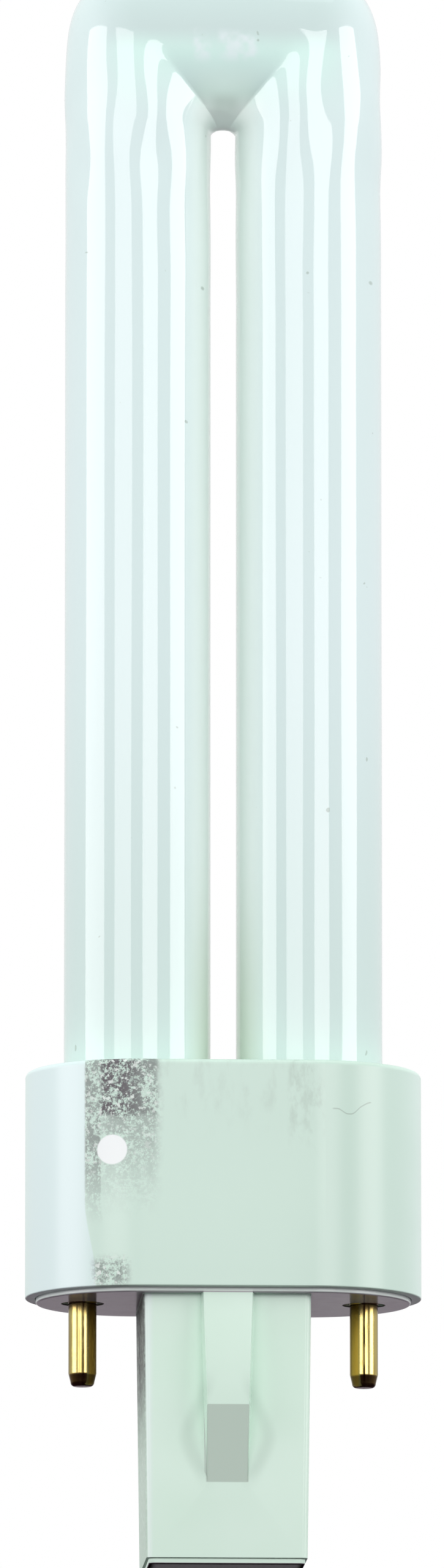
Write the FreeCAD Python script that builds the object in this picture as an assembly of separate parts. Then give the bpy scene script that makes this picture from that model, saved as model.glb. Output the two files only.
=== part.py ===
import FreeCAD, Part
import math
import os

from FreeCAD import Vector

# Single-turn compact fluorescent lamp on a two-pin plug-in cap.
# Millimetres. X runs through both contact pins, -Y is the front, +Z runs up the glass legs.
# The origin is the middle of the cap's underside, the face that seats on the lamp holder.

# Glass tube, bent once into a narrow U
tube_diameter = 12.0
leg_gap = 2.1
lamp_top = 111.6
bend_rise = 14.25
arch_rise = 0.62
bend_squareness = 4.7
bend_rounding = 2.5
bend_sections = 5
points_around = 24
leg_end_taper = 2.0
exhaust_tip_diameter = 2.6
exhaust_tip_length = 3.6
electrode_lead_offset = 2.4

# Contact pins
pin_spacing = 23.0
pin_diameter = 2.3
pin_length = 6.8
pin_tip_length = 1.0
pin_tip_diameter = 1.45
pin_shank_diameter = 2.8
pin_head_diameter = 3.6
pin_head_thickness = 0.5
pin_bore_depth = 3.5
pin_fit = 0.02

# Cap shell: a cup with its floor at the top, where the legs go in
shell_end_margin = 4.7
shell_height = 18.6
shell_wall = 0.8
shell_ledge = 0.45
shell_edge_chamfer = 0.4
deck_thickness = 1.5
cement_gap = 0.35
cement_recess = 0.5
collar_wall = 1.0

# Base plate, set into the shell's lower rim and standing a little proud of it
plate_thickness = 1.8
plate_proud = 0.4
plate_clearance = 0.08
boss_wall = 1.1
boss_height = 2.8
pin_recess_diameter = 3.5
pin_recess_depth = 0.4

# Hollow post below the plate, drafted towards its open end
post_width = 13.66
post_depth = 14.7
post_setback = 1.02
post_length = 21.5
post_width_draft = 0.28
post_depth_draft = 0.35
post_wall = 1.2
post_edge_radius = 0.5
cavity_edge_radius = 0.4

# Snap rib on the front and the back of the post
rib_root_width = 4.1
rib_peak_width = 3.4
rib_foot_width = 3.25
rib_root_height = 1.0
rib_peak_height = 1.7
rib_peak_drop = 9.2
rib_foot_drop = 15.4
rib_side_draft = 0.3
rib_embed = 0.6

# Cover that closes the post's end
cover_inset = 0.2
cover_proud = 0.43
cover_joint = 0.08
cover_joint_depth = 0.5
cover_plug_depth = 1.4
cover_clearance = 0.06
cover_edge_chamfer = 0.12

# Starter bottle and capacitor, standing on the cover inside the post
bottle_diameter = 6.2
bottle_back_offset = 2.0
bottle_length = 14.0
bottle_shoulder = 1.2
press_width = 3.4
press_thickness = 1.5
press_length = 2.6
starter_lead_spacing = 2.4
starter_lead_length = 3.2
capacitor_width = 7.4
capacitor_thickness = 3.2
capacitor_height = 9.5
capacitor_edge_radius = 0.6
capacitor_gap = 1.2

# Lead wires
wire_diameter = 0.6
wire_fit = 0.05
wire_drop = 1.6
wire_rise = 1.4
wiring_room = 3.4

# Sizes that follow from the ones above
tube_radius = tube_diameter / 2
leg_offset = (tube_diameter + leg_gap) / 2
spring_height = lamp_top - bend_rise
bend_half_width = leg_offset + tube_radius
mitre_angle = math.atan2(bend_rise, bend_half_width)
pin_offset = pin_spacing / 2
pin_radius = pin_diameter / 2
pin_hole_radius = pin_shank_diameter / 2 + pin_fit
plate_inset = shell_wall + plate_clearance
shell_length = pin_spacing + 2 * shell_end_margin
shell_width = post_depth + 2 * (post_setback + plate_inset)
shell_top = plate_proud + shell_height
deck_underside = shell_top - deck_thickness
socket_radius = tube_radius + cement_gap
boss_top = plate_thickness + boss_height
pin_head_top = boss_top + pin_head_thickness
pin_bore_floor = pin_head_top - pin_bore_depth
leg_end_height = pin_head_top + wiring_room
collar_bottom = leg_end_height + leg_end_taper
cover_floor = cover_plug_depth - post_length
bottle_top = cover_floor + bottle_length
press_top = bottle_top + press_length
starter_lead_top = press_top + starter_lead_length
wire_radius = wire_diameter / 2


def stadium_wire(inset, height):
    """Round-ended outline of the cap at one height, moved inwards by inset."""
    radius = shell_width / 2 - inset
    run = (shell_length - shell_width) / 2
    right = Part.Arc(
        Vector(run, -radius, height),
        Vector(run + radius, 0, height),
        Vector(run, radius, height),
    )
    left = Part.Arc(
        Vector(-run, radius, height),
        Vector(-run - radius, 0, height),
        Vector(-run, -radius, height),
    )
    back = Part.LineSegment(Vector(run, radius, height), Vector(-run, radius, height))
    front = Part.LineSegment(Vector(-run, -radius, height), Vector(run, -radius, height))
    return Part.Wire([right.toShape(), back.toShape(), left.toShape(), front.toShape()])


def stadium_block(inset, low, high):
    return Part.Face(stadium_wire(inset, low)).extrude(Vector(0, 0, high - low))


def round_bar(radius, low, high, x=0.0, y=0.0):
    return Part.makeCylinder(radius, high - low, Vector(x, y, low))


def level_edges(shape, height):
    """Edges that lie wholly at one height."""
    found = []
    for edge in shape.Edges:
        box = edge.BoundBox
        if abs(box.ZMin - height) < 1e-4 and abs(box.ZMax - height) < 1e-4:
            found.append(edge)
    return found


def turned(profile):
    """Solid turned about Z from (radius, height) corners."""
    points = [Vector(radius, 0, height) for radius, height in profile]
    face = Part.Face(Part.makePolygon(points + points[:1]))
    return face.revolve(Vector(0, 0, 0), Vector(0, 0, 1), 360)


def rounded_box(half_x, half_y, radius, low, high, x=0.0, y=0.0):
    """Upright block with rounded vertical edges."""
    size = Vector(2 * half_x, 2 * half_y, high - low)
    block = Part.makeBox(size.x, size.y, size.z, Vector(x - half_x, y - half_y, low))
    uprights = [edge for edge in block.Edges if edge.BoundBox.ZLength > size.z / 2]
    return block.makeFillet(radius, uprights)


def outer_reach(angle):
    """Distance from the pivot to the squared outside of the bend, seen from the front."""
    across = math.cos(angle) / bend_half_width
    up = math.sin(angle) / bend_rise
    return (across ** bend_squareness + up ** bend_squareness) ** (-1 / bend_squareness)


def inner_reach(angle):
    """Distance from the pivot to the low arch over the gap."""
    half_gap = leg_gap / 2
    return half_gap * arch_rise / math.hypot(
        arch_rise * math.cos(angle), half_gap * math.sin(angle)
    )


def bend_point(angle, turn):
    """Point on the bend, turn round the section that leans at angle.

    The legs and the bridge meet in a sharp mitre. The mitre is then rounded off towards the
    outside of the bend and towards the gap, and stays as a crease between the two.
    """
    along = math.cos(turn)
    reach = leg_offset + tube_radius * along
    if angle > mitre_angle:
        mitre_scale = math.tan(mitre_angle) / math.sin(angle)
    else:
        mitre_scale = 1 / math.cos(angle)
    reach *= mitre_scale
    if along > 0:
        square_reach = bend_half_width * mitre_scale
        reach += (outer_reach(angle) - square_reach) * along ** bend_rounding
    elif along < 0:
        square_reach = leg_gap / 2 * mitre_scale
        reach += (inner_reach(angle) - square_reach) * (-along) ** bend_rounding
    return Vector(
        reach * math.cos(angle),
        tube_radius * math.sin(turn),
        spring_height + reach * math.sin(angle),
    )


def bend_section(angle):
    """Closed section of the glass on the plane through the pivot that leans at angle."""
    if angle == 0:
        centre = Vector(leg_offset, 0, spring_height)
        return Part.Wire([Part.makeCircle(tube_radius, centre)])
    turns = [2 * math.pi * count / points_around for count in range(points_around)]
    curve = Part.BSplineCurve()
    curve.interpolate(
        Points=[bend_point(angle, turn) for turn in turns],
        PeriodicFlag=True,
        Parameters=turns + [2 * math.pi],
    )
    return Part.Wire([curve.toShape()])


def bend_sector(low, high):
    """Stretch of the bend between two planes through the pivot."""
    step = (high - low) / (bend_sections - 1)
    return Part.makeLoft([bend_section(low + step * count) for count in range(bend_sections)], True)


def glass_leg():
    """The right leg, with its sealed end and exhaust tip inside the cap."""
    tip_radius = exhaust_tip_diameter / 2
    tip_low = leg_end_height - exhaust_tip_length
    leg = turned([
        (0, tip_low),
        (tip_radius / 2, tip_low),
        (tip_radius, leg_end_height),
        (tube_radius - leg_end_taper, leg_end_height),
        (tube_radius, leg_end_height + leg_end_taper),
        (tube_radius, spring_height),
        (0, spring_height),
    ])
    leg.translate(Vector(leg_offset, 0, 0))
    return leg


def mirrored(shape):
    """The same piece on the left side of the lamp."""
    return shape.mirror(Vector(0, 0, 0), Vector(1, 0, 0))


def discharge_tube():
    elbow = bend_sector(0, mitre_angle)
    half_bridge = bend_sector(mitre_angle, math.pi / 2)
    right = glass_leg().fuse([elbow, half_bridge])
    return right.fuse(mirrored(right))


def cement():
    """Ring of basing cement between the right leg and its socket in the shell."""
    top = shell_top - cement_recess
    ring = round_bar(socket_radius, collar_bottom, top, leg_offset)
    return ring.cut(round_bar(tube_radius, collar_bottom, top, leg_offset))


def cap_shell():
    body = stadium_block(0, plate_proud, shell_top)
    body = body.makeChamfer(shell_edge_chamfer, level_edges(body, shell_top))
    body = body.cut(stadium_block(shell_wall, plate_proud, plate_thickness))
    body = body.cut(stadium_block(shell_wall + shell_ledge, plate_thickness, deck_underside))
    collar_radius = socket_radius + collar_wall
    for x in (-leg_offset, leg_offset):
        body = body.fuse(round_bar(collar_radius, collar_bottom, deck_underside, x))
    for x in (-leg_offset, leg_offset):
        body = body.cut(round_bar(socket_radius, leg_end_height, shell_top, x))
    return body.removeSplitter()


def post_half_size(height):
    """Half width and half depth of the drafted post at one height."""
    share = -height / post_length
    return (
        post_width / 2 - post_width_draft * share,
        post_depth / 2 - post_depth_draft * share,
    )


def rounded_rectangle(half_x, half_y, radius, height):
    """Rectangle with round corners, as a closed wire."""
    turn = radius * (1 - math.sqrt(0.5))
    edges = []
    last = None
    first = None
    for sign_x, sign_y in ((1, -1), (1, 1), (-1, 1), (-1, -1)):
        corner = Vector(sign_x * half_x, sign_y * half_y, height)
        before = corner - Vector(sign_x * radius, 0, 0)
        after = corner - Vector(0, sign_y * radius, 0)
        if sign_x != sign_y:
            start, end = before, after
        else:
            start, end = after, before
        middle = corner - Vector(sign_x * turn, sign_y * turn, 0)
        if last:
            edges.append(Part.LineSegment(last, start).toShape())
        else:
            first = start
        edges.append(Part.Arc(start, middle, end).toShape())
        last = end
    edges.append(Part.LineSegment(last, first).toShape())
    return Part.Wire(edges)


def drafted_block(inset, radius, low, high):
    """Length of the post between two heights, moved inwards by inset."""
    wires = []
    for height in (low, high):
        half_x, half_y = post_half_size(height)
        wires.append(rounded_rectangle(half_x - inset, half_y - inset, radius, height))
    return Part.makeLoft(wires, True, True)


def rib_section(crest_width, crest_height, height):
    """Four-sided section of the front rib, sunk a little into the post."""
    half_depth = post_half_size(height)[1]
    crest = -half_depth - crest_height
    root = -half_depth + rib_embed
    crest_half = crest_width / 2
    root_half = crest_half + rib_side_draft
    corners = [
        Vector(-crest_half, crest, height),
        Vector(crest_half, crest, height),
        Vector(root_half, root, height),
        Vector(-root_half, root, height),
    ]
    return Part.makePolygon(corners + corners[:1])


def snap_rib():
    """Front rib: rises away from the plate to its peak, then ramps down to the post."""
    ramp = rib_foot_drop - rib_peak_drop
    sunk_height = -rib_embed / 2
    sunk_drop = rib_foot_drop + ramp * rib_embed / 2 / rib_peak_height
    return Part.makeLoft([
        rib_section(rib_root_width, rib_root_height, plate_thickness / 2),
        rib_section(rib_peak_width, rib_peak_height, -rib_peak_drop),
        rib_section(rib_foot_width, sunk_height, -sunk_drop),
    ], True, True)


def base_plate():
    plate = stadium_block(plate_inset, 0, plate_thickness)
    plate = plate.fuse(drafted_block(0, post_edge_radius, -post_length, plate_thickness))
    front_rib = snap_rib()
    back_rib = front_rib.mirror(Vector(0, 0, 0), Vector(0, 1, 0))
    plate = plate.fuse([front_rib, back_rib])
    for x in (-pin_offset, pin_offset):
        plate = plate.fuse(round_bar(pin_hole_radius + boss_wall, plate_thickness / 2, boss_top, x))
    cavity = drafted_block(post_wall, cavity_edge_radius, -post_length, plate_thickness)
    plate = plate.cut(cavity)
    for x in (-pin_offset, pin_offset):
        plate = plate.cut(round_bar(pin_hole_radius, 0, boss_top, x))
        plate = plate.cut(round_bar(pin_recess_diameter / 2, 0, pin_recess_depth, x))
    return plate.removeSplitter()


def contact_pin(x):
    """Brass pin, drilled from its head for the lead wire.

    It is thin up to the seat, widens inside the recess and has its thicker shank in the boss.
    """
    shank_radius = pin_shank_diameter / 2
    bore_radius = wire_radius + wire_fit
    pin = turned([
        (0, -pin_length),
        (pin_tip_diameter / 2, -pin_length),
        (pin_radius, pin_tip_length - pin_length),
        (pin_radius, 0),
        (shank_radius, pin_recess_depth),
        (shank_radius, boss_top),
        (pin_head_diameter / 2, boss_top),
        (pin_head_diameter / 2, pin_head_top),
        (bore_radius, pin_head_top),
        (bore_radius, pin_bore_floor),
        (0, pin_bore_floor),
    ])
    pin.translate(Vector(x, 0, 0))
    return pin


def post_cover():
    """Lid on the post's end, with a plug that stands in the cavity."""
    half_x, half_y = post_half_size(-post_length)
    lid = rounded_box(
        half_x - cover_inset, half_y - cover_inset, post_edge_radius,
        -post_length - cover_proud, -post_length - cover_joint,
    )
    lid = lid.makeChamfer(cover_edge_chamfer, level_edges(lid, -post_length - cover_proud))
    seat_inset = cover_inset + cover_joint_depth
    seat = rounded_box(
        half_x - seat_inset, half_y - seat_inset, cavity_edge_radius,
        -post_length - cover_joint, -post_length,
    )
    plug_inset = post_wall + cover_clearance
    plug = rounded_box(
        half_x - plug_inset, half_y - plug_inset, cavity_edge_radius,
        -post_length, cover_floor,
    )
    return lid.fuse([seat, plug]).removeSplitter()


def starter_bottle():
    """Glow starter: a sealed glass bottle with a pressed top and two leads."""
    radius = bottle_diameter / 2
    bottle = turned([
        (0, cover_floor),
        (radius, cover_floor),
        (radius, bottle_top - bottle_shoulder),
        (radius - bottle_shoulder, bottle_top),
        (0, bottle_top),
    ])
    bottle.translate(Vector(0, bottle_back_offset, 0))
    press = Part.makeBox(
        press_width, press_thickness, press_length,
        Vector(-press_width / 2, bottle_back_offset - press_thickness / 2, bottle_top),
    )
    leads = [
        round_bar(wire_radius, press_top, starter_lead_top, x, bottle_back_offset)
        for x in (-starter_lead_spacing / 2, starter_lead_spacing / 2)
    ]
    return bottle.fuse([press] + leads)


def bent_wire(points):
    """Round wire along straight runs with sharp bends between them."""
    section = Part.makeCircle(wire_radius, points[0], points[1] - points[0])
    sharp_corners = 1
    path = Part.makePolygon(points)
    return path.makePipeShell([Part.Wire([section])], True, False, sharp_corners)


def capacitor():
    """Suppression capacitor, with its legs bent back to the starter's leads."""
    front = bottle_back_offset - bottle_diameter / 2
    y = front - capacitor_gap - capacitor_thickness / 2
    top = cover_floor + capacitor_height
    body = rounded_box(
        capacitor_width / 2, capacitor_thickness / 2, capacitor_edge_radius,
        cover_floor, top, 0, y,
    )
    leg_top = (press_top + starter_lead_top) / 2
    legs = []
    for x in (-starter_lead_spacing / 2, starter_lead_spacing / 2):
        leg = bent_wire([
            Vector(x, y, top - capacitor_edge_radius),
            Vector(x, y, leg_top),
            Vector(x, bottle_back_offset, leg_top),
        ])
        lead = round_bar(wire_radius, press_top, starter_lead_top, x, bottle_back_offset)
        behind = Part.makeBox(
            wire_diameter * 2, wire_diameter, wire_diameter * 2,
            Vector(x - wire_diameter, bottle_back_offset, leg_top - wire_diameter),
        )
        legs.append(leg.cut(behind).cut(lead))
    return body.fuse(legs)


def pin_lead(side):
    """Front lead of one leg, run out and down into its contact pin."""
    turn_height = pin_head_top + wire_rise
    return bent_wire([
        Vector(side * leg_offset, -electrode_lead_offset, leg_end_height),
        Vector(side * leg_offset, -electrode_lead_offset, leg_end_height - wire_drop),
        Vector(side * pin_offset, 0, turn_height),
        Vector(side * pin_offset, 0, pin_bore_floor),
    ])


def starter_lead(side):
    """Back lead of one leg, run in and down to the starter."""
    x = side * starter_lead_spacing / 2
    return bent_wire([
        Vector(side * leg_offset, electrode_lead_offset, leg_end_height),
        Vector(side * leg_offset, electrode_lead_offset, leg_end_height - wire_drop),
        Vector(x, bottle_back_offset, boss_top + wire_rise / 2),
        Vector(x, bottle_back_offset, starter_lead_top),
    ])


def main():
    parts = {
        "discharge_tube": discharge_tube(),
        "cement_left": mirrored(cement()),
        "cement_right": cement(),
        "cap_shell": cap_shell(),
        "base_plate": base_plate(),
        "post_cover": post_cover(),
        "contact_pin_left": contact_pin(-pin_offset),
        "contact_pin_right": contact_pin(pin_offset),
        "starter_bottle": starter_bottle(),
        "capacitor": capacitor(),
        "pin_lead_left": pin_lead(-1),
        "pin_lead_right": pin_lead(1),
        "starter_lead_left": starter_lead(-1),
        "starter_lead_right": starter_lead(1),
    }
    os.makedirs("parts", exist_ok=True)
    for name, shape in parts.items():
        shape.exportStep("parts/" + name + ".step")
        print(name, "solids", len(shape.Solids), "volume", round(shape.Volume, 1))


main()
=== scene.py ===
import math
import bmesh
import bpy
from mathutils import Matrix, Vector, noise


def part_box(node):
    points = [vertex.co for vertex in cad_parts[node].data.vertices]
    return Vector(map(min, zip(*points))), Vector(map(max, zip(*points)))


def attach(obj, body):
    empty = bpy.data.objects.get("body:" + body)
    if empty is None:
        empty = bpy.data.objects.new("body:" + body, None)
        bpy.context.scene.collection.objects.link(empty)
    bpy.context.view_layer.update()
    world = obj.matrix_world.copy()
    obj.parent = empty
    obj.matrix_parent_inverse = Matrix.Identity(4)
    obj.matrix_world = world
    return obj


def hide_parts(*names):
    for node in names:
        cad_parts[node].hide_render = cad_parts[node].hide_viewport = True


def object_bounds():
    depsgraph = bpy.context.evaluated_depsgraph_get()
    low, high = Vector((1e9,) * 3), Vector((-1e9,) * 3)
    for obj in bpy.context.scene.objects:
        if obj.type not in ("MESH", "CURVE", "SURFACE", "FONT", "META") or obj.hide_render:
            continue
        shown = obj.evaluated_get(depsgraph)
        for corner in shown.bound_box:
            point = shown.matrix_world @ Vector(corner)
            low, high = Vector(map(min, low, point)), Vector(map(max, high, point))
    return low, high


# sizes are in millimetres and angles in degrees, but the stage and its lamps are in metres
mm = 0.001
overshoot = 1.0  # how far a cutting tool runs past the face it cuts, in millimetres

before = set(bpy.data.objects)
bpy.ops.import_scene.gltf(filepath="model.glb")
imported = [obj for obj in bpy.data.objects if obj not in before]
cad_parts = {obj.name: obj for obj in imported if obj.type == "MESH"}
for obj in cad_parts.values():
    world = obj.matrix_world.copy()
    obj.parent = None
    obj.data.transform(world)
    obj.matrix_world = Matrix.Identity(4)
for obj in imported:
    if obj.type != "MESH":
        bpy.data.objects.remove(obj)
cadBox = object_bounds()
print("frame loaded:", len(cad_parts), "nodes")


# shader helpers

def colour(red, green, blue):
    # written as seen on a screen, 0 to 255
    def toLinear(value):
        share = value / 255
        return share / 12.92 if share <= 0.04045 else ((share + 0.055) / 1.055) ** 2.4
    return (toLinear(red), toLinear(green), toLinear(blue), 1.0)


class Socket:
    # one output of a shader node, so that masks read as sums
    def __init__(self, look, link):
        self.look = look
        self.link = link

    def __add__(self, other):
        return self.look.math("ADD", self, other)

    def __radd__(self, other):
        return self.look.math("ADD", other, self)

    def __sub__(self, other):
        return self.look.math("SUBTRACT", self, other)

    def __rsub__(self, other):
        return self.look.math("SUBTRACT", other, self)

    def __mul__(self, other):
        return self.look.math("MULTIPLY", self, other)

    def __rmul__(self, other):
        return self.look.math("MULTIPLY", other, self)


class Look:
    # the node tree of one material, or of the world
    def __init__(self, owner):
        owner.use_nodes = True
        self.owner = owner
        self.tree = owner.node_tree
        self.tree.nodes.clear()

    def node(self, kind, settings={}, values={}, output=0):
        made = self.tree.nodes.new(kind)
        for name, value in settings.items():
            setattr(made, name, value)
        for name, value in values.items():
            if isinstance(value, Socket):
                self.tree.links.new(value.link, made.inputs[name])
            else:
                made.inputs[name].default_value = value
        return Socket(self, made.outputs[output]) if len(made.outputs) else None

    def math(self, operation, *values):
        return self.node("ShaderNodeMath", {"operation": operation}, dict(enumerate(values)))

    def mix(self, share, first, second):
        values = {0: share, 6: first, 7: second}
        return self.node("ShaderNodeMix", {"data_type": "RGBA"}, values, 2)

    def step(self, value, low, high):
        # 0 below low, 1 above high, smooth between
        settings = {"interpolation_type": "SMOOTHSTEP"}
        values = {"Value": value, "From Min": low, "From Max": high}
        return self.node("ShaderNodeMapRange", settings, values)

    def between(self, value, low, high, soft):
        # 1 from low to high, with ends that fade over soft to either side
        rise = self.step(value, low - soft, low + soft)
        return rise * (1 - self.step(value, high - soft, high + soft))

    def place(self, stretch=(1, 1, 1)):
        # place on the object, in millimetres, stretched along each axis
        at = self.node("ShaderNodeTexCoord", output="Object")
        scale = tuple(1000 * share for share in stretch)
        return self.node("ShaderNodeVectorMath", {"operation": "MULTIPLY"}, {0: at, 1: scale})

    def axis(self, name):
        return self.node("ShaderNodeSeparateXYZ", values={0: self.place()}, output=name)

    def grain(self, size, detail, stretch=(1, 1, 1), roughness=0.5):
        # soft noise about 0.5, with features of about size millimetres
        values = {
            "Vector": self.place(stretch), "Scale": 1 / size,
            "Detail": detail, "Roughness": roughness,
        }
        return self.node("ShaderNodeTexNoise", values=values)

    def blotches(self, low, high, **grain):
        # 0 where the grain is below low, 1 where it is above high
        return self.step(self.grain(**grain), low, high)

    def surface(self, values):
        body = self.node("ShaderNodeBsdfPrincipled", values=values)
        self.node("ShaderNodeOutputMaterial", values={"Surface": body})
        return self.owner


def newLook(name):
    return Look(bpy.data.materials.new(name))


# mesh helpers

def ringMesh(name, rings):
    # closed skin over a row of rings that all have as many points
    mesh = bpy.data.meshes.new(name)
    form = bmesh.new()
    rows = [[form.verts.new(point) for point in ring] for ring in rings]
    for low, high in zip(rows, rows[1:]):
        for index in range(len(low)):
            after = (index + 1) % len(low)
            form.faces.new((low[index], low[after], high[after], high[index]))
    form.faces.new(rows[0])
    form.faces.new(rows[-1])
    bmesh.ops.recalc_face_normals(form, faces=form.faces)
    form.to_mesh(mesh)
    form.free()
    piece = bpy.data.objects.new(name, mesh)
    bpy.context.scene.collection.objects.link(piece)
    return piece


def circleRing(radius, height, count, x=0.0):
    turns = [2 * math.pi * index / count for index in range(count)]
    return [Vector((x + radius * math.cos(turn), radius * math.sin(turn), height)) for turn in turns]


def turned(name, profile, x=0.0, count=96):
    # round piece about an upright line, from pairs of radius and height in millimetres
    rings = [circleRing(radius, height, count, x) for radius, height in profile]
    return ringMesh(name, [[point * mm for point in ring] for ring in rings])


def bar(name, radius, low, high, x=0.0):
    return turned(name, ((radius, low), (radius, high)), x)


def roundedRing(halfX, halfY, radius, height, perCorner=8):
    # rectangle with round corners, counter-clockwise from the right side
    ring = []
    for quarter, (signX, signY) in enumerate(((1, 1), (-1, 1), (-1, -1), (1, -1))):
        for index in range(perCorner + 1):
            turn = math.pi / 2 * (quarter + index / perCorner)
            ring.append(Vector((
                signX * (halfX - radius) + radius * math.cos(turn),
                signY * (halfY - radius) + radius * math.sin(turn),
                height,
            )))
    return ring


def roundOver(edge, steps=4):
    # (inset, drop) pairs round a convex edge, from its end face to its wall
    pairs = []
    for index in range(steps + 1):
        turn = math.pi / 2 * index / steps
        pairs.append((edge * (1 - math.sin(turn)), edge * (1 - math.cos(turn))))
    return pairs


def carve(piece, tools, operation):
    for tool in tools:
        step = piece.modifiers.new("carve", "BOOLEAN")
        step.operation = operation
        step.solver = "EXACT"
        step.object = tool
        settle(piece)
        bpy.data.objects.remove(tool)


def settle(piece):
    # bake the modifiers into the mesh
    graph = bpy.context.evaluated_depsgraph_get()
    graph.update()
    made = bpy.data.meshes.new_from_object(piece.evaluated_get(graph))
    piece.modifiers.clear()
    piece.data = made


def dress(piece, look, slot, *nodes, sharp=35):
    piece.data.materials.clear()
    piece.data.materials.append(look)
    for face in piece.data.polygons:
        face.use_smooth = True
    piece.data.set_sharp_from_angle(angle=math.radians(sharp))
    even = piece.modifiers.new("even", "WEIGHTED_NORMAL")
    even.keep_sharp = True
    settle(piece)
    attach(piece, "root")
    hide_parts(*nodes)
    print(piece.name, "faces", len(piece.data.polygons))


# camera

camera = {
    "azimuth": -2.7,
    "elevation": -9.109,
    "distance": 1200.0,
    "lens": 335.48,
    "sensor": 36,
    "farthest": 20000.0,
    "target": (-0.0997, 0.0, 43.059),
}


def makeCamera():
    turn, lift = math.radians(camera["azimuth"]), math.radians(camera["elevation"])
    back = Vector((math.sin(turn) * math.cos(lift), -math.cos(turn) * math.cos(lift), math.sin(lift)))
    data = bpy.data.cameras.new("photoCamera")
    data.lens = camera["lens"]
    data.sensor_width = camera["sensor"]
    data.clip_end = camera["farthest"] * mm
    eye = bpy.data.objects.new("photoCamera", data)
    eye.location = (Vector(camera["target"]) + back * camera["distance"]) * mm
    eye.rotation_euler = (-back).to_track_quat("-Z", "Y").to_euler()
    bpy.context.scene.collection.objects.link(eye)
    bpy.context.scene.camera = eye


# stage

stage = {
    "floorRadius": 1.6,
    "floorDrop": 0.00002,
    "floorThickness": 0.001,
    "floorSides": 96,
    "floorFade": (0.25, 1.2),
    "floorFacing": (0.4, 0.6),
    "floorShade": colour(236, 238, 237),
    "shadeNear": colour(64, 46, 62),
    "shadeFar": colour(168, 161, 167),
    "shadeReach": (0.045, 0.13),
    "underPost": (5.6, 6.2),
    "underPostCover": 0.84,
    "ambient": 0.51,
    "glossyAmbient": 0.85,
    "lampAim": (0, 0, 0.04),
}

# azimuth from the front, negative to the left, and height above the horizon, in degrees
softboxes = {
    "leftStrip": {"azimuth": (-92, -56), "height": (2, 22), "level": 4.15},
    "nearLeftStrip": {"azimuth": (-39, -12), "height": (2, 22), "level": 3.45},
    "nearRightStrip": {"azimuth": (6, 29), "height": (2, 22), "level": 4.4},
    "rightStrip": {"azimuth": (50, 78), "height": (2, 22), "level": 5.05},
    "leftPanel": {"azimuth": (-150, -98), "height": (-20, 50), "level": 1.0},
    "rightPanel": {"azimuth": (90, 142), "height": (-20, 50), "level": 1.0},
}
ceiling = {"height": 1.1, "side": 1.0, "forward": -0.1, "level": 0.85, "tint": (0.93, 0.97, 1.0)}
stripDistance = 1.35
stripTint = (1.0, 0.925, 0.955)


def addSoftbox(name, centre, width, height, level, tint):
    light = bpy.data.lights.new(name, "AREA")
    light.shape = "RECTANGLE"
    light.size = width
    light.size_y = height
    light.energy = level * math.pi * width * height
    light.color = tint
    box = bpy.data.objects.new(name, light)
    box.location = centre
    aim = Vector(stage["lampAim"]) - centre
    box.rotation_euler = aim.to_track_quat("-Z", "Y").to_euler()
    box.visible_camera = False
    bpy.context.scene.collection.objects.link(box)
    return box


def makeLights():
    for name, box in softboxes.items():
        low, high = box["azimuth"]
        turn = math.radians((low + high) / 2)
        width = 2 * stripDistance * math.tan(math.radians((high - low) / 2))
        bottom, top = [stripDistance * math.tan(math.radians(angle)) for angle in box["height"]]
        across, forward = stripDistance * math.sin(turn), -stripDistance * math.cos(turn)
        centre = Vector((across, forward, (bottom + top) / 2))
        lamp = addSoftbox(name, centre, width, top - bottom, box["level"], stripTint)
        # the panels only fill, the strips are the ones that shine on the glass
        lamp.visible_glossy = "Strip" in name
    addSoftbox(
        "ceilingPanel", Vector((0, ceiling["forward"], ceiling["height"])),
        ceiling["side"], ceiling["side"], ceiling["level"], ceiling["tint"],
    )


def makeWorld():
    world = bpy.data.worlds.new("studio")
    bpy.context.scene.world = world
    look = Look(world)
    toCamera, glossy, through = [
        look.node("ShaderNodeLightPath", output=name)
        for name in ("Is Camera Ray", "Is Glossy Ray", "Is Transmission Ray")
    ]
    seen = look.math("MAXIMUM", toCamera, through)
    spread = stage["ambient"] + glossy * (stage["glossyAmbient"] - stage["ambient"])
    level = spread + seen * (1 - spread)
    sky = look.node("ShaderNodeBackground", values={"Color": (1, 1, 1, 1), "Strength": level})
    look.node("ShaderNodeOutputWorld", values={"Surface": sky})


def makeFloor():
    # seen from above it is a pale table that fades into the white, from below it is clear
    height = cadBox[0].z - stage["floorDrop"]
    floor = ringMesh("floor", [
        circleRing(stage["floorRadius"], level, stage["floorSides"])
        for level in (height - stage["floorThickness"], height)
    ])
    look = newLook("paleTable")
    at = look.node("ShaderNodeTexCoord", output="Object")
    reach = look.node("ShaderNodeVectorMath", {"operation": "LENGTH"}, {0: at}, "Value")
    near = 1 - look.step(reach, *stage["floorFade"])
    normal = look.node("ShaderNodeNewGeometry", output="True Normal")
    up = look.node("ShaderNodeSeparateXYZ", values={0: normal}, output="Z")
    front = 1 - look.node("ShaderNodeNewGeometry", output="Backfacing")
    top = look.step(up, *stage["floorFacing"])
    # thinner under the post's end, so that its end face isn't black from below
    across, along = look.math("ABSOLUTE", look.axis("X")), look.math("ABSOLUTE", look.axis("Y"))
    beside = look.step(look.math("MAXIMUM", across, along), *stage["underPost"])
    seen = look.node("ShaderNodeLightPath", output="Is Camera Ray")
    # the light it gives back is dim under the cap and grey farther out
    back = look.mix(look.step(reach, *stage["shadeReach"]), stage["shadeNear"], stage["shadeFar"])
    shade = look.mix(seen, back, stage["floorShade"])
    table = look.node("ShaderNodeBsdfDiffuse", values={"Color": shade})
    clear = look.node("ShaderNodeBsdfTransparent")
    density = beside + (1 - beside) * stage["underPostCover"]
    share = near * front * top * density
    skin = look.node("ShaderNodeMixShader", values={0: share, 1: clear, 2: table})
    look.node("ShaderNodeOutputMaterial", values={"Surface": skin})
    floor.data.materials.append(look.owner)


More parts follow.
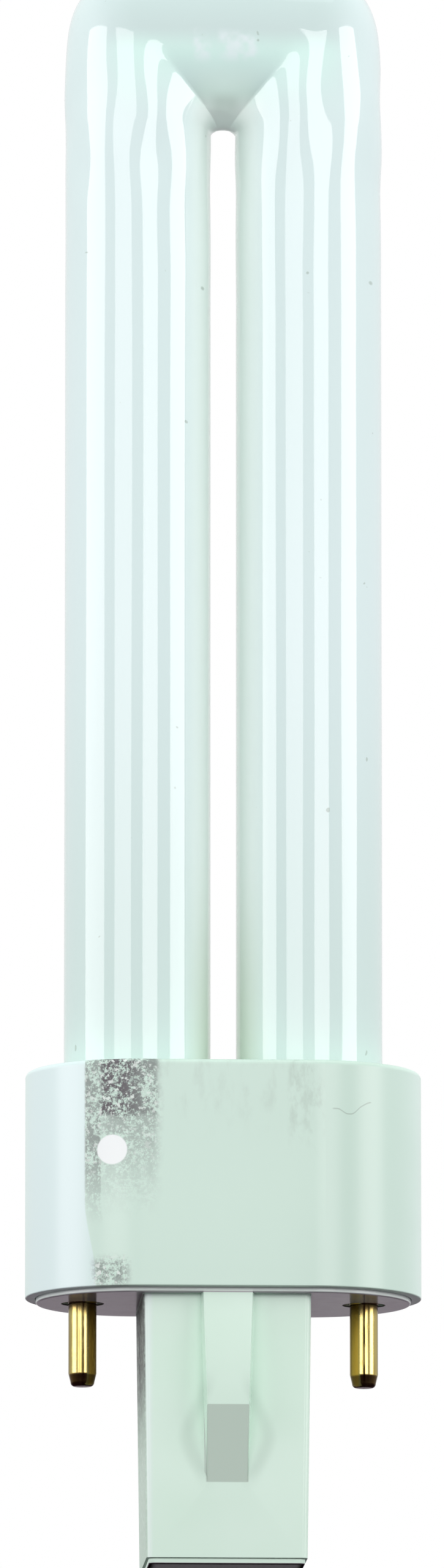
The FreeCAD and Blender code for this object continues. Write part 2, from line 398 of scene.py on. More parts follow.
# glass tube

glass = {
    "radius": 6.0,
    "legGap": 2.1,
    "bendRise": 14.25,
    "archRise": 0.62,
    "squareAcross": 3.0,
    "squareUp": 6.0,
    "rounding": 2.5,
    "endTaper": 2.0,
    "tipRadius": 1.3,
    "tipLength": 3.6,
    "pointsAround": 112,
    "ringSpacing": 1.2,
    "bendRings": 92,
    "justRight": 1e-9,
    "rippleStart": 10.0,
    "bendRipple": 0.075,
    "bendRippleScale": (0.16, 0.16, 0.16),
    "bendRippleRise": (78.0, 92.0),
    "legRipple": 0.012,
    "legRippleScale": (0.35, 0.35, 0.035),
    "foldRipple": 0.17,
    "foldRippleScale": (0.34, 0.34, 0.2),
    "foldHeights": (91.0, 95.0, 100.0, 105.0),
    "seeds": ((3.1, 0.4, 7.7), (9.2, 4.4, 1.3), (5.5, 2.1, 8.4)),
    "mitreSoftness": 34,
    "softFrom": (5.0, 11.0),
    "softStart": 2.5,
    "softRise": 4.0,
}
legOffset = glass["radius"] + glass["legGap"] / 2
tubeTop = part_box("discharge_tube")[1].z / mm
springHeight = tubeTop - glass["bendRise"]
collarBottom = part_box("cement_left")[0].z / mm
legEnd = collarBottom - glass["endTaper"]
bendHalfWidth = legOffset + glass["radius"]
mitre = math.atan2(glass["bendRise"], bendHalfWidth)


def outerReach(angle):
    # from the bend's pivot to its squared outside, found by halving
    near, far = 0.0, 2 * glass["bendRise"]
    for _halving in range(40):
        reach = (near + far) / 2
        across = reach * math.cos(angle) / bendHalfWidth
        up = reach * math.sin(angle) / glass["bendRise"]
        if across ** glass["squareAcross"] + up ** glass["squareUp"] < 1:
            near = reach
        else:
            far = reach
    return reach


def bendPoint(angle, turn, outer):
    # mitred bend, squarer outside than the source's
    # angle 0 is at the right leg, a quarter turn is at the top
    along = math.cos(turn)
    reach = legOffset + glass["radius"] * along
    scale = math.tan(mitre) / math.sin(angle) if angle > mitre else 1 / math.cos(angle)
    reach *= scale
    if along > 0:
        reach += (outer - bendHalfWidth * scale) * along ** glass["rounding"]
    elif along < 0:
        half, rise = glass["legGap"] / 2, glass["archRise"]
        inner = half * rise / math.hypot(rise * math.cos(angle), half * math.sin(angle))
        reach += (inner - half * scale) * (-along) ** glass["rounding"]
    return Vector((
        reach * math.cos(angle),
        glass["radius"] * math.sin(turn),
        springHeight + reach * math.sin(angle),
    ))


def legRing(radius, height):
    return circleRing(radius, height, glass["pointsAround"], legOffset)


def glassRings():
    # right half, from the exhaust tip up to the middle of the bridge
    radius, taper = glass["radius"], glass["endTaper"]
    rings = [
        legRing(glass["tipRadius"] / 2, legEnd - glass["tipLength"]),
        legRing(glass["tipRadius"], legEnd),
    ]
    rings += [legRing(radius - inset, legEnd + drop) for inset, drop in roundOver(taper, steps=6)]
    steps = round((springHeight - collarBottom) / glass["ringSpacing"])
    for index in range(1, steps + 1):
        rings.append(legRing(radius, collarBottom + (springHeight - collarBottom) * index / steps))
    turns = [2 * math.pi * index / glass["pointsAround"] for index in range(glass["pointsAround"])]
    half = glass["bendRings"] // 2
    elbow = round(half * mitre / (math.pi / 2))
    angles = [mitre * index / elbow for index in range(1, elbow + 1)]
    bridge = half - elbow
    angles += [mitre + (math.pi / 2 - mitre) * index / bridge for index in range(1, bridge + 1)]
    for angle in angles:
        angle = min(angle, math.pi / 2 - glass["justRight"])  # a hair right of the middle
        outer = outerReach(angle)
        rings.append([bendPoint(angle, turn, outer) for turn in turns])
    return rings


def unevenness(spot, scale, seed):
    stretched = Vector([place * share for place, share in zip(spot, scale)])
    return noise.noise(stretched + Vector(seed))


def ripple(point):
    # the drawn glass is nearly true along the legs and uneven where it was bent
    spot = point / mm
    bendSeed, legSeed, foldSeed = glass["seeds"]
    low, high = glass["bendRippleRise"]
    bent = min(1.0, max(0.0, (spot.z - low) / (high - low)))
    start, full, hold, end = glass["foldHeights"]
    rising, falling = (spot.z - start) / (full - start), (end - spot.z) / (end - hold)
    folded = max(0.0, min(1.0, rising, falling))
    wave = glass["bendRipple"] * bent * unevenness(spot, glass["bendRippleScale"], bendSeed)
    slow = glass["legRipple"] * unevenness(spot, glass["legRippleScale"], legSeed)
    fold = glass["foldRipple"] * folded * unevenness(spot, glass["foldRippleScale"], foldSeed)
    return (wave + slow + fold) * mm


def softenMitre(form):
    # the crease is clear beside the gap and melts away towards the outside of the bend
    near, far = glass["softFrom"]
    pivot = Vector((0, springHeight))
    chosen = []
    for corner in form.verts:
        spot = corner.co / mm
        if spot.z > springHeight + glass["softStart"]:
            reach = (Vector((spot.x, spot.z)) - pivot).length
            share = min(1.0, max(0.0, (reach - near) / (far - near)))
            # the smoothing starts gently, so that the legs run into it without a step
            share *= min(1.0, (spot.z - springHeight - glass["softStart"]) / glass["softRise"])
            # the outside has no crease and keeps its shape
            outside = max(0.0, 1 - (spot.y / glass["radius"]) ** 2)
            share *= 1 - outside ** (glass["rounding"] / 2)
            if share > 0:
                around = [edge.other_vert(corner) for edge in corner.link_edges]
                chosen.append((corner, around, share / 2))
    for _pass in range(glass["mitreSoftness"]):
        moved = []
        for corner, around, share in chosen:
            middle = sum((other.co for other in around), Vector()) / len(around)
            moved.append(corner.co.lerp(middle, share))
        for (corner, _around, _share), place in zip(chosen, moved):
            corner.co = place


def makeGlass():
    right = glassRings()
    left = [[Vector((-point.x, point.y, point.z)) for point in ring] for ring in reversed(right[:-1])]
    rings = [[point * mm for point in ring] for ring in right + left]
    tube = ringMesh("glassTube", rings)
    form = bmesh.new()
    form.from_mesh(tube.data)
    softenMitre(form)
    form.normal_update()
    for corner in form.verts:
        if corner.co.z > (collarBottom + glass["rippleStart"]) * mm:
            corner.co += corner.normal * ripple(corner.co)
    form.to_mesh(tube.data)
    form.free()
    dress(tube, glassLook(), "coated_glass", "discharge_tube", sharp=60)


# reaches are from the middle, heights from the seat, a third value is how softly the range ends
coating = {
    "body": colour(211, 235, 231),
    "pale": colour(215, 237, 235),
    "paleBlotches": {"size": 26, "detail": 2, "stretch": (1, 1, 0.25), "low": 0.35, "high": 0.7},
    "capwardShade": colour(201, 228, 219),
    "capwardShadeHeights": (14, 60),
    "capwardShadeShare": 0.8,
    "bridge": colour(210, 250, 237),
    "bridgeTopShade": colour(194, 218, 213),
    "bridgeReach": (7, 12),
    "bridgeHeights": (97, 105),
    "bridgeTopHeights": (103.0, 105.4),
    "bridgeShare": 0.85,
    "inner": colour(240, 255, 248),
    "gapShadeByCap": colour(216, 232, 217),
    "innerByArch": colour(220, 250, 236),
    "innerReach": (1.4, 3.8),
    "innerHeights": (99, 103),
    "byCapHeights": (20, 38),
    "byArchHeights": (98.6, 100.4),
    "gapLightShare": 0.9,
    "heel": colour(158, 186, 170),
    "heelReach": (0.4, 1.6),
    "heelHeights": (98.7, 99.9, 0.5),
    "heelShare": 0.3,
    "paintedReflection": colour(238, 248, 252),
    "paintedReflections": ((-2.7, -1.3, 0.3), (-0.6, 2.5, 0.4)),
    "reflectionHeights": (102.7, 104.9, 0.6),
    "reflectionBlotches": {"size": 1.4, "detail": 2, "low": 0.35, "high": 0.65},
    "reflectionShare": 0.5,
    "speck": colour(150, 172, 158),
    "specks": ((-1.85, 83.9, 0.2), (12.0, 84.4, 0.22), (6.66, 84.7, 0.16), (2.6, 104.2, 0.14)),
    "scattered": {"size": 0.9, "detail": 1, "low": 0.79, "high": 0.83},
    "speckShare": 0.6,
    "roughness": 0.45,
    "sheen": 0.3,
    "glassRoughness": 0.045,
    "glassIndex": 1.5,
}


def glassLook():
    look = newLook("coatedGlass")
    x, y, height = look.axis("X"), look.axis("Y"), look.axis("Z")
    off = look.math("ABSOLUTE", x)
    shade = look.mix(look.blotches(**coating["paleBlotches"]), coating["body"], coating["pale"])
    # painted darker towards the cap, a painted shade
    capwardShade = 1 - look.step(height, *coating["capwardShadeHeights"])
    shade = look.mix(capwardShade * coating["capwardShadeShare"], shade, coating["capwardShade"])
    # the bridge is painted greener and lighter low down, a painted light where the bend shades it, and
    # greyer at its very top, a painted shade against the light from above
    bridge = look.step(height, *coating["bridgeHeights"]) * (1 - look.step(off, *coating["bridgeReach"]))
    topmost = look.step(height, *coating["bridgeTopHeights"])
    bridgeLightAndShade = look.mix(topmost, coating["bridge"], coating["bridgeTopShade"])
    shade = look.mix(bridge * coating["bridgeShare"], shade, bridgeLightAndShade)
    # the sides of the gap are painted paler, a painted light where the gap shades them; by the cap and by
    # the arch they are painted greener and darker, a painted shade
    inner = 1 - look.step(off, *coating["innerReach"])
    inner = inner * (1 - look.step(height, *coating["innerHeights"]))
    aboveCap = look.step(height, *coating["byCapHeights"])
    byArch = look.step(height, *coating["byArchHeights"])
    gapLightAndShade = look.mix(aboveCap, coating["gapShadeByCap"], coating["inner"])
    gapLightAndShade = look.mix(byArch, gapLightAndShade, coating["innerByArch"])
    shade = look.mix(inner * coating["gapLightShare"], shade, gapLightAndShade)
    # small darker spot where the two mitre creases meet, a painted shade in the crease
    heel = (1 - look.step(off, *coating["heelReach"])) * look.between(height, *coating["heelHeights"])
    shade = look.mix(heel * coating["heelShare"], shade, coating["heel"])
    # two painted reflections of lights on the bridge
    first, second = [look.between(x, *ends) for ends in coating["paintedReflections"]]
    paintedReflections = (first + second) * look.between(height, *coating["reflectionHeights"])
    paintedReflections = paintedReflections * look.blotches(**coating["reflectionBlotches"])
    shade = look.mix(paintedReflections * coating["reflectionShare"], shade, coating["paintedReflection"])
    # small specks, scattered ones and those that show on the front
    specks = look.blotches(**coating["scattered"])
    for spotX, spotZ, radius in coating["specks"]:
        acrossX, acrossZ = x - spotX, height - spotZ
        apart = acrossX * acrossX + acrossZ * acrossZ
        spot = (1 - look.step(apart, 0, radius * radius)) * look.step(y * -1, 0, 1)
        specks = look.math("MAXIMUM", specks, spot)
    shade = look.mix(specks * coating["speckShare"], shade, coating["speck"])
    return look.surface({
        "Base Color": shade,
        "Roughness": coating["roughness"],
        "Specular IOR Level": coating["sheen"],
        "Coat Weight": 1.0,
        "Coat Roughness": coating["glassRoughness"],
        "Coat IOR": coating["glassIndex"],
    })


# cap shell

shell = {
    "length": 32.4,
    "width": 18.5,
    "wall": 0.8,
    "ledge": 0.45,
    "deck": 1.5,
    "edge": 0.45,
    "rim": 0.12,
    "seatHeight": 1.8,
    "socket": 6.35,
    "socketEdge": 0.2,
    "collar": 7.35,
    "pointsPerEnd": 48,
}
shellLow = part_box("cap_shell")[0].z / mm
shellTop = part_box("cap_shell")[1].z / mm


def stadiumRing(inset, height):
    radius = shell["width"] / 2 - inset
    run = (shell["length"] - shell["width"]) / 2
    ring = []
    for side in (1, -1):
        for index in range(shell["pointsPerEnd"] + 1):
            turn = math.pi * (index / shell["pointsPerEnd"] - 0.5)
            if side < 0:
                turn += math.pi
            across = side * run + radius * math.cos(turn)
            ring.append(Vector((across, radius * math.sin(turn), height)) * mm)
    return ring


def makeShell():
    rings = [stadiumRing(inset, shellLow + drop) for inset, drop in roundOver(shell["rim"], steps=3)]
    edge = reversed(roundOver(shell["edge"], steps=6))
    rings += [stadiumRing(inset, shellTop - drop) for inset, drop in edge]
    cap = ringMesh("capShell", rings)
    step = shell["wall"] + shell["ledge"]
    cavity = ringMesh("cavity", [
        stadiumRing(shell["wall"], shellLow - overshoot),
        stadiumRing(shell["wall"], shell["seatHeight"]),
        stadiumRing(step, shell["seatHeight"]),
        stadiumRing(step, shellTop - shell["deck"]),
    ])
    carve(cap, [cavity], "DIFFERENCE")
    legs = (-legOffset, legOffset)
    deckMiddle = shellTop - shell["deck"] / 2
    carve(cap, [bar("collar", shell["collar"], collarBottom, deckMiddle, x) for x in legs], "UNION")
    flare = shell["socketEdge"]
    profile = (
        (shell["socket"], collarBottom - overshoot),
        (shell["socket"], shellTop - flare),
        (shell["socket"] + flare * 2, shellTop + flare),
    )
    carve(cap, [turned("socket", profile, x) for x in legs], "DIFFERENCE")
    dress(cap, shellLook(), "cap_plastic", "cap_shell")


plastic = {
    "body": colour(213, 241, 229),
    "pale": colour(218, 245, 234),
    "plateBody": colour(220, 251, 232),
    "platePale": colour(225, 254, 237),
    "shellRoughness": 0.30,
    "plateRoughness": 0.26,
    "coverRoughness": 0.34,
    "blotches": {"size": 9, "detail": 2, "low": 0.3, "high": 0.7},
}


def plasticShade(look, body="body", pale="pale"):
    return look.mix(look.blotches(**plastic["blotches"]), plastic[body], plastic[pale])


# heights are from the seat, a third value is how softly the range ends
scuff = {
    "front": (7.0, 8.0),
    "leftHighlight": colour(221, 244, 241),
    "leftHighlightEnd": (-12.5, -9.0),
    "leftHighlightDepth": (-2, 4),
    "rightTone": colour(198, 227, 211),
    "rightToneShare": 0.85,
    "rightToneFrom": (-3, 7),
    "rightToneFade": (11, 15),
    "rightToneFadeShare": 0.3,
    "rightToneDepth": (2, 6),
    "film": colour(207, 236, 220),
    "filmPale": colour(204, 232, 217),
    "filmShare": 0.9,
    "filmPaleHeights": (6, 17),
    "filmLeft": -11.62,
    "filmLean": 0.85,
    "filmLeanHeights": (1.0, 7.5),
    "filmStart": (-0.05, 0.07),
    "filmRight": 7.9,
    "filmSharpEnd": (-0.06, 0.06),
    "filmSoftEnd": (-5, 3),
    "filmSharpHeights": (3.0, 11.0),
    "filmSharpShare": 0.7,
    "streak": colour(168, 190, 176),
    "streakLines": {
        "size": 1.3, "detail": 4, "stretch": (1, 1, 0.4), "roughness": 0.6,
        "low": 0.45, "high": 0.75,
    },
    "streakShare": 0.28,
    "streakHeights": (11.5, 16.0),
    "smear": (4.9, 7.9, 0.3),
    "smearLines": {
        "size": 0.8, "detail": 4, "stretch": (1, 1, 0.45), "roughness": 0.65,
        "low": 0.46, "high": 0.66,
    },
    "smearShare": 0.38,
    "smearHeights": (10.5, 15.0),
    "stainAndShade": colour(68, 52, 66),
    "stainShare": 0.92,
    "grit": {"size": 0.26, "detail": 4, "roughness": 0.75},
    "gritClumps": {"size": 1.1, "detail": 3},
    "gritClumpShare": 0.5,
    "gritLevels": (0.37, 0.56),
    "fleck": colour(226, 240, 232),
    "flecks": {"size": 0.38, "detail": 3, "roughness": 0.55, "low": 0.58, "high": 0.62},
    "fleckShare": 0.85,
    "blur": {"size": 1.5, "detail": 5, "roughness": 0.65},
    "blurReach": 2.4,
    "dense": (-10.5, -5.76, 0.35),
    "denseHeights": (13.2, 14.8),
    "denseBlur": (0.35, 0.8),
    "denseFade": (-9.0, -6.0),
    "denseFadeShare": 0.3,
    "loose": (-10.5, -5.76, 0.6),
    "looseHeights": (5.5, 14.5),
    "looseBlur": (0.5, 1.5),
    "looseShare": 0.5,
    "strip": (0.0, 1.3, 0.12),
    "stripHeights": (4.5, 12.0),
    "stripShare": 0.65,
    "patch": (-10.9, -8.2, 0.5),
    "patchHeights": (0.5, 2.6, 0.6),
    "patchBlur": 0.3,
    "patchGritLevels": (0.42, 0.6),
    "patchStainShare": 0.6,
    "patchFleckShare": 0.9,
    "wornRoughness": 0.2,
    "hair": colour(150, 172, 158),
    "hairShare": 0.55,
    "hairEnds": (8.5, 11.65, 0.1),
    "hairHeight": 14.58,
    "hairDip": 9.85,
    "hairDipReach": (0.1, 1.0),
    "hairDipDepth": 0.4,
    "hairRise": (10.2, 11.7),
    "hairRiseHeight": 0.65,
    "hairThickness": (0.03, 0.08),
    "dab": colour(245, 255, 252),
    "dabAt": (-9.44, 11.53),
    "dabEdge": (1.14, 1.28),
    "foot": colour(120, 118, 90),
    "footShare": 0.12,
    "footHeights": (0.02, 0.1),
}


def shellLook():
    look = newLook("capPlasticWorn")
    shade = plasticShade(look)
    x, y, z = look.axis("X"), look.axis("Y"), look.axis("Z")
    ahead = y * -1
    front = look.step(ahead, *scuff["front"])
    # the left end of the face is painted paler and bluer, a painted highlight from the light on the left
    leftHighlight = (1 - look.step(x, *scuff["leftHighlightEnd"])) * look.step(ahead, *scuff["leftHighlightDepth"])
    shade = look.mix(leftHighlight, shade, scuff["leftHighlight"])
    # the right half is a little greener and darker
    faded = look.step(x, *scuff["rightToneFade"]) * scuff["rightToneFadeShare"]
    rightTone = look.step(x, *scuff["rightToneFrom"]) * (1 - faded)
    rightTone = rightTone * look.step(ahead, *scuff["rightToneDepth"])
    shade = look.mix(rightTone * scuff["rightToneShare"], shade, scuff["rightTone"])
    # greenish film over the face, with a clear edge on both sides
    leftEdge = (1 - look.step(z, *scuff["filmLeanHeights"])) * scuff["filmLean"] + scuff["filmLeft"]
    fromLeft, fromRight = x - leftEdge, x - scuff["filmRight"]
    sharpEnd = 1 - look.step(fromRight, *scuff["filmSharpEnd"])
    softEnd = 1 - look.step(fromRight, *scuff["filmSoftEnd"])
    sharper = look.step(z, *scuff["filmSharpHeights"]) * scuff["filmSharpShare"]
    film = look.step(fromLeft, *scuff["filmStart"]) * (softEnd + sharper * (sharpEnd - softEnd)) * front
    filmShade = look.mix(look.step(z, *scuff["filmPaleHeights"]), scuff["film"], scuff["filmPale"])
    shade = look.mix(film * scuff["filmShare"], shade, filmShade)
    streaks = film * look.blotches(**scuff["streakLines"]) * look.step(z, *scuff["streakHeights"])
    shade = look.mix(streaks * scuff["streakShare"], shade, scuff["streak"])
    # heavier smear at the film's right edge
    smear = look.between(x, *scuff["smear"]) * look.step(z, *scuff["smearHeights"]) * film
    smear = smear * look.blotches(**scuff["smearLines"])
    shade = look.mix(smear * scuff["smearShare"], shade, scuff["streak"])
    # worn corner, stained between bright flecks, that thins out downwards
    blur = (look.grain(**scuff["blur"]) - 0.5) * scuff["blurReach"]
    thinner = look.step(x, *scuff["denseFade"]) * scuff["denseFadeShare"]
    sideways, upwards = scuff["denseBlur"]
    dense = look.between(x + blur * sideways, *scuff["dense"]) * (1 - thinner)
    dense = dense * look.step(z + blur * upwards, *scuff["denseHeights"])
    sideways, upwards = scuff["looseBlur"]
    loose = look.between(x + blur * sideways, *scuff["loose"])
    loose = loose * look.step(z + blur * upwards, *scuff["looseHeights"])
    strip = look.between(fromLeft, *scuff["strip"]) * look.step(z + blur, *scuff["stripHeights"])
    light = look.math("MAXIMUM", loose * scuff["looseShare"], strip * scuff["stripShare"])
    worn = look.math("MAXIMUM", dense, light) * front
    clumps = (look.grain(**scuff["gritClumps"]) - 0.5) * scuff["gritClumpShare"]
    grit = look.grain(**scuff["grit"]) + clumps
    stained = look.step(grit, *scuff["gritLevels"]) * worn
    shade = look.mix(stained * scuff["stainShare"], shade, scuff["stainAndShade"])
    flecks = look.blotches(**scuff["flecks"])
    shade = look.mix(flecks * worn * scuff["fleckShare"], shade, scuff["fleck"])
    # smaller patch by the lower edge
    shift = blur * scuff["patchBlur"]
    patch = look.between(x + shift, *scuff["patch"]) * front
    patch = patch * look.between(z + shift, *scuff["patchHeights"])
    stained = look.step(grit, *scuff["patchGritLevels"]) * patch
    shade = look.mix(stained * scuff["patchStainShare"], shade, scuff["stainAndShade"])
    shade = look.mix(flecks * patch * scuff["patchFleckShare"], shade, scuff["fleck"])
    # hair-thin scratch on the right
    fromDip = look.math("ABSOLUTE", x - scuff["hairDip"])
    sway = look.step(fromDip, *scuff["hairDipReach"]) * scuff["hairDipDepth"]
    sway = sway + look.step(x, *scuff["hairRise"]) * scuff["hairRiseHeight"]
    apart = look.math("ABSOLUTE", z - sway - scuff["hairHeight"])
    hair = (1 - look.step(apart, *scuff["hairThickness"])) * look.between(x, *scuff["hairEnds"]) * front
    shade = look.mix(hair * scuff["hairShare"], shade, scuff["hair"])
    # round dab of white paint
    dabX, dabZ = scuff["dabAt"]
    reach = look.math("SQRT", (x - dabX) * (x - dabX) + (z - dabZ) * (z - dabZ))
    shade = look.mix((1 - look.step(reach, *scuff["dabEdge"])) * front, shade, scuff["dab"])
    # thin painted shade along the lower rim, by the joint with the plate
    foot = 1 - look.step(z - shellLow, *scuff["footHeights"])
    shade = look.mix(foot * scuff["footShare"], shade, scuff["foot"])
    rough = (worn + patch) * scuff["wornRoughness"]
    return look.surface({"Base Color": shade, "Roughness": rough + plastic["shellRoughness"]})


# base plate with its post

plate = {
    "inset": 0.88,
    "edge": 0.15,
    "thickness": 1.8,
    "bossRadius": 2.52,
    "bossTop": 4.6,
    "pinSpacing": 23.0,
    "pinHole": 1.42,
    "recessRadius": 1.75,
    "recessDepth": 0.4,
}
post = {
    "width": 13.66,
    "depth": 14.7,
    "length": 21.5,
    "widthDraft": 0.28,
    "depthDraft": 0.35,
    "edge": 0.5,
    "wall": 1.2,
    "cavityEdge": 0.4,
    "endEdge": 0.06,
}
rib = {
    "rootWidth": 4.1, "rootHeight": 1.0,
    "peakWidth": 3.4, "peakHeight": 1.7, "peakDrop": 9.2,
    "footWidth": 3.25, "footDrop": 15.4,
    "draft": 0.3, "embed": 0.6, "edge": 0.12,
}


def postHalf(height):
    share = -height / post["length"]
    return (
        post["width"] / 2 - post["widthDraft"] * share,
        post["depth"] / 2 - post["depthDraft"] * share,
    )


def postRing(inset, radius, height, section):
    # ring at height, with the outline that the drafted post has at section
    halfX, halfY = postHalf(section)
    ring = roundedRing(halfX - inset, halfY - inset, radius, height)
    return [point * mm for point in ring]


def ribRing(crestWidth, crestHeight, height, side):
    # section of the snap rib, with its two outer edges rounded
    halfDepth = postHalf(height)[1]
    crest, root = halfDepth + crestHeight, halfDepth - rib["embed"]
    half, edge = crestWidth / 2, rib["edge"]
    points = [(half + rib["draft"], root)]
    for inset, drop in reversed(roundOver(edge)):
        points.append((half - inset, crest - drop))
    for inset, drop in roundOver(edge):
        points.append((inset - half, crest - drop))
    points.append((-half - rib["draft"], root))
    return [Vector((across, side * out, height)) * mm for across, out in points]


def makeBasePlate():
    rings = [stadiumRing(plate["inset"] + inset, drop) for inset, drop in roundOver(plate["edge"])]
    base = ringMesh("basePlate", rings + [stadiumRing(plate["inset"], plate["thickness"])])
    middle, end = plate["thickness"] / 2, -post["length"]
    rings = [
        postRing(inset, post["edge"] - inset, drop + end, drop + end)
        for inset, drop in roundOver(post["endEdge"], steps=3)
    ]
    added = [ringMesh("post", rings + [postRing(0, post["edge"], middle, middle)])]
    ramp = rib["footDrop"] - rib["peakDrop"]
    sunk = rib["embed"] / 2
    sunkDrop = rib["footDrop"] + ramp * sunk / rib["peakHeight"]
    for side in (-1, 1):
        added.append(ringMesh("rib", [
            ribRing(rib["rootWidth"], rib["rootHeight"], middle, side),
            ribRing(rib["peakWidth"], rib["peakHeight"], -rib["peakDrop"], side),
            ribRing(rib["footWidth"], -sunk, -sunkDrop, side),
        ]))
    pins = (-plate["pinSpacing"] / 2, plate["pinSpacing"] / 2)
    added += [bar("boss", plate["bossRadius"], middle, plate["bossTop"], x) for x in pins]
    carve(base, added, "UNION")
    cavity = ringMesh("cavity", [
        postRing(post["wall"], post["cavityEdge"], height, height)
        for height in (end - overshoot, plate["thickness"] + overshoot)
    ])
    holes = [bar("hole", plate["pinHole"], -overshoot, plate["bossTop"] + overshoot, x) for x in pins]
    holes += [bar("recess", plate["recessRadius"], -overshoot, plate["recessDepth"], x) for x in pins]
    carve(base, [cavity] + holes, "DIFFERENCE")
    dress(base, plateLook(), "cap_plastic", "base_plate", sharp=28)


plateWear = {
    "ramp": colour(176, 196, 182),
    "rampShadeShare": 0.75,
    "rampWidth": (-1.72, 1.72, 0.03),
    "rampHeights": (-15.35, -9.2, 0.04),
    "rampFront": (6.9, 7.1),
    "rampRoughness": 0.35,
    "ribShadow": colour(190, 220, 202),
    "ribShadowShare": 0.35,
    "ribShadowReach": 2.1,
    "ribShadowBow": 1.6,
    "ribShadowBowHeights": (-14.0, -9.4, 2.4),
    "ribShadowWidth": (-0.9, 0.1, 0.45),
    "ribShadowHeights": (-15.2, -7.2, 1.2),
    "seat": (-0.02, -0.005),
    "recess": colour(36, 22, 26),
    "recessShadeShare": 0.95,
    "recessEdge": (0.01, 0.09),
    "recessHeights": (1.0, 1.2),
    "shadedUnderside": colour(142, 120, 140),
    "undersideShadeShare": 0.75,
    "underHeights": (0.04, 0.14),
    "underGloss": 0.08,
    "postClearance": (0.02, 0.15),
    "darkBlotch": colour(120, 108, 122),
    "darkBlotchGrain": {"size": 3.2, "detail": 3, "low": 0.45, "high": 0.75},
    "darkBlotchShare": 0.25,
    "rim": colour(240, 255, 248),
    "paintedRimShare": 0.95,
    "rimHeights": (0.1, 0.9, 0.05),
    "shadedFlank": colour(84, 76, 82),
    "flankPale": colour(120, 142, 124),
    "flankHeights": (-13, -6),
    "flankDraft": 0.013,
    "flankEdge": (6.62, 6.8),
    "flankTop": (-0.05, 0.0),
    "flankShare": 0.38,
    "flankRise": 0.5,
    "flankRiseHeights": (-14.0, -2.0),
    "flankWaves": {"size": 2.5, "detail": 3},
    "flankWaveHeight": 3,
    "flankSpeckles": {"size": 0.5, "detail": 4, "roughness": 0.7, "low": 0.3, "high": 0.6},
    "flankSpeckleShare": 0.4,
    "flankRoughness": 0.6,
    "edgeHighlight": colour(236, 255, 250),
    "edgeHighlightShare": 0.6,
    "edgeHighlightReach": (-6.4, -5.9),
    "edgeHighlightFront": (6.5, 7.0),
}


def plateLook():
    look = newLook("capPlastic")
    x, y, z = look.axis("X"), look.axis("Y"), look.axis("Z")
    ahead, off, deep = y * -1, look.math("ABSOLUTE", x), look.math("ABSOLUTE", y)
    shade = plasticShade(look, "plateBody", "platePale")
    # the ramp of the rib is matt, and painted darker, a painted shade where it faces down
    ramp = look.between(x, *plateWear["rampWidth"]) * look.between(z, *plateWear["rampHeights"])
    ramp = ramp * look.step(ahead, *plateWear["rampFront"])
    shade = look.mix(ramp * plateWear["rampShadeShare"], shade, plateWear["ramp"])
    # faint painted shadows that the rib casts beside the ramp
    bow = look.between(z, *plateWear["ribShadowBowHeights"]) * plateWear["ribShadowBow"]
    ribShadows = look.between(off - plateWear["ribShadowReach"] - bow, *plateWear["ribShadowWidth"])
    ribShadows = ribShadows * look.between(z, *plateWear["ribShadowHeights"]) * (1 - ramp)
    shade = look.mix(ribShadows * plateWear["ribShadowShare"], shade, plateWear["ribShadow"])
    # dark ring round each pin, a painted shade inside its recess
    aboveSeat = look.step(z, *plateWear["seat"])
    fromPin = off - plate["pinSpacing"] / 2
    fromRecess = look.math("SQRT", fromPin * fromPin + y * y) - plate["recessRadius"]
    ring = 1 - look.step(fromRecess, *plateWear["recessEdge"])
    ring = ring * aboveSeat * (1 - look.step(z, *plateWear["recessHeights"]))
    shade = look.mix(ring * plateWear["recessShadeShare"], shade, plateWear["recess"])
    # underside of the plate, clear of the post, painted a dark purple-grey, a painted shade
    fromPost = look.math("MAXIMUM", off - post["width"] / 2, deep - post["depth"] / 2)
    clear = look.step(fromPost, *plateWear["postClearance"])
    shadedUnderside = aboveSeat * (1 - look.step(z, *plateWear["underHeights"])) * clear
    shade = look.mix(shadedUnderside * (1 - ring) * plateWear["undersideShadeShare"], shade, plateWear["shadedUnderside"])
    # darker blotches over the underside
    darkBlotch = look.blotches(**plateWear["darkBlotchGrain"])
    shade = look.mix(shadedUnderside * darkBlotch * plateWear["darkBlotchShare"], shade, plateWear["darkBlotch"])
    # the rim of the plate is painted nearly white, a painted light where the shell's edge shades it
    side = look.between(z, *plateWear["rimHeights"]) * clear
    shade = look.mix(side * plateWear["paintedRimShare"], shade, plateWear["rim"])
    # the left flank of the post is painted darker towards the seat, a painted shade, broken by speckles
    below = 1 - look.step(z, *plateWear["flankTop"])
    shadedFlank = look.step(x * -1 - z * plateWear["flankDraft"], *plateWear["flankEdge"]) * below
    wavy = z + look.grain(**plateWear["flankWaves"]) * plateWear["flankWaveHeight"]
    rise = look.step(wavy, *plateWear["flankRiseHeights"]) * plateWear["flankRise"]
    missed = (1 - look.blotches(**plateWear["flankSpeckles"])) * plateWear["flankSpeckleShare"]
    fade = (rise + plateWear["flankShare"]) * (1 - missed)
    stainAndShade = look.mix(look.step(z, *plateWear["flankHeights"]), plateWear["flankPale"], plateWear["shadedFlank"])
    shade = look.mix(shadedFlank * fade, shade, stainAndShade)
    # a painted highlight down the rounded left edge of the front
    edgeHighlight = (1 - look.step(x, *plateWear["edgeHighlightReach"])) * look.step(ahead, *plateWear["edgeHighlightFront"])
    edgeHighlight = edgeHighlight * (1 - shadedFlank) * below
    shade = look.mix(edgeHighlight * plateWear["edgeHighlightShare"], shade, plateWear["edgeHighlight"])
    rough = ramp * plateWear["rampRoughness"] - shadedUnderside * plateWear["underGloss"]
    rough = rough + shadedFlank * fade * plateWear["flankRoughness"]
    return look.surface({"Base Color": shade, "Roughness": rough + plastic["plateRoughness"]})


# post cover

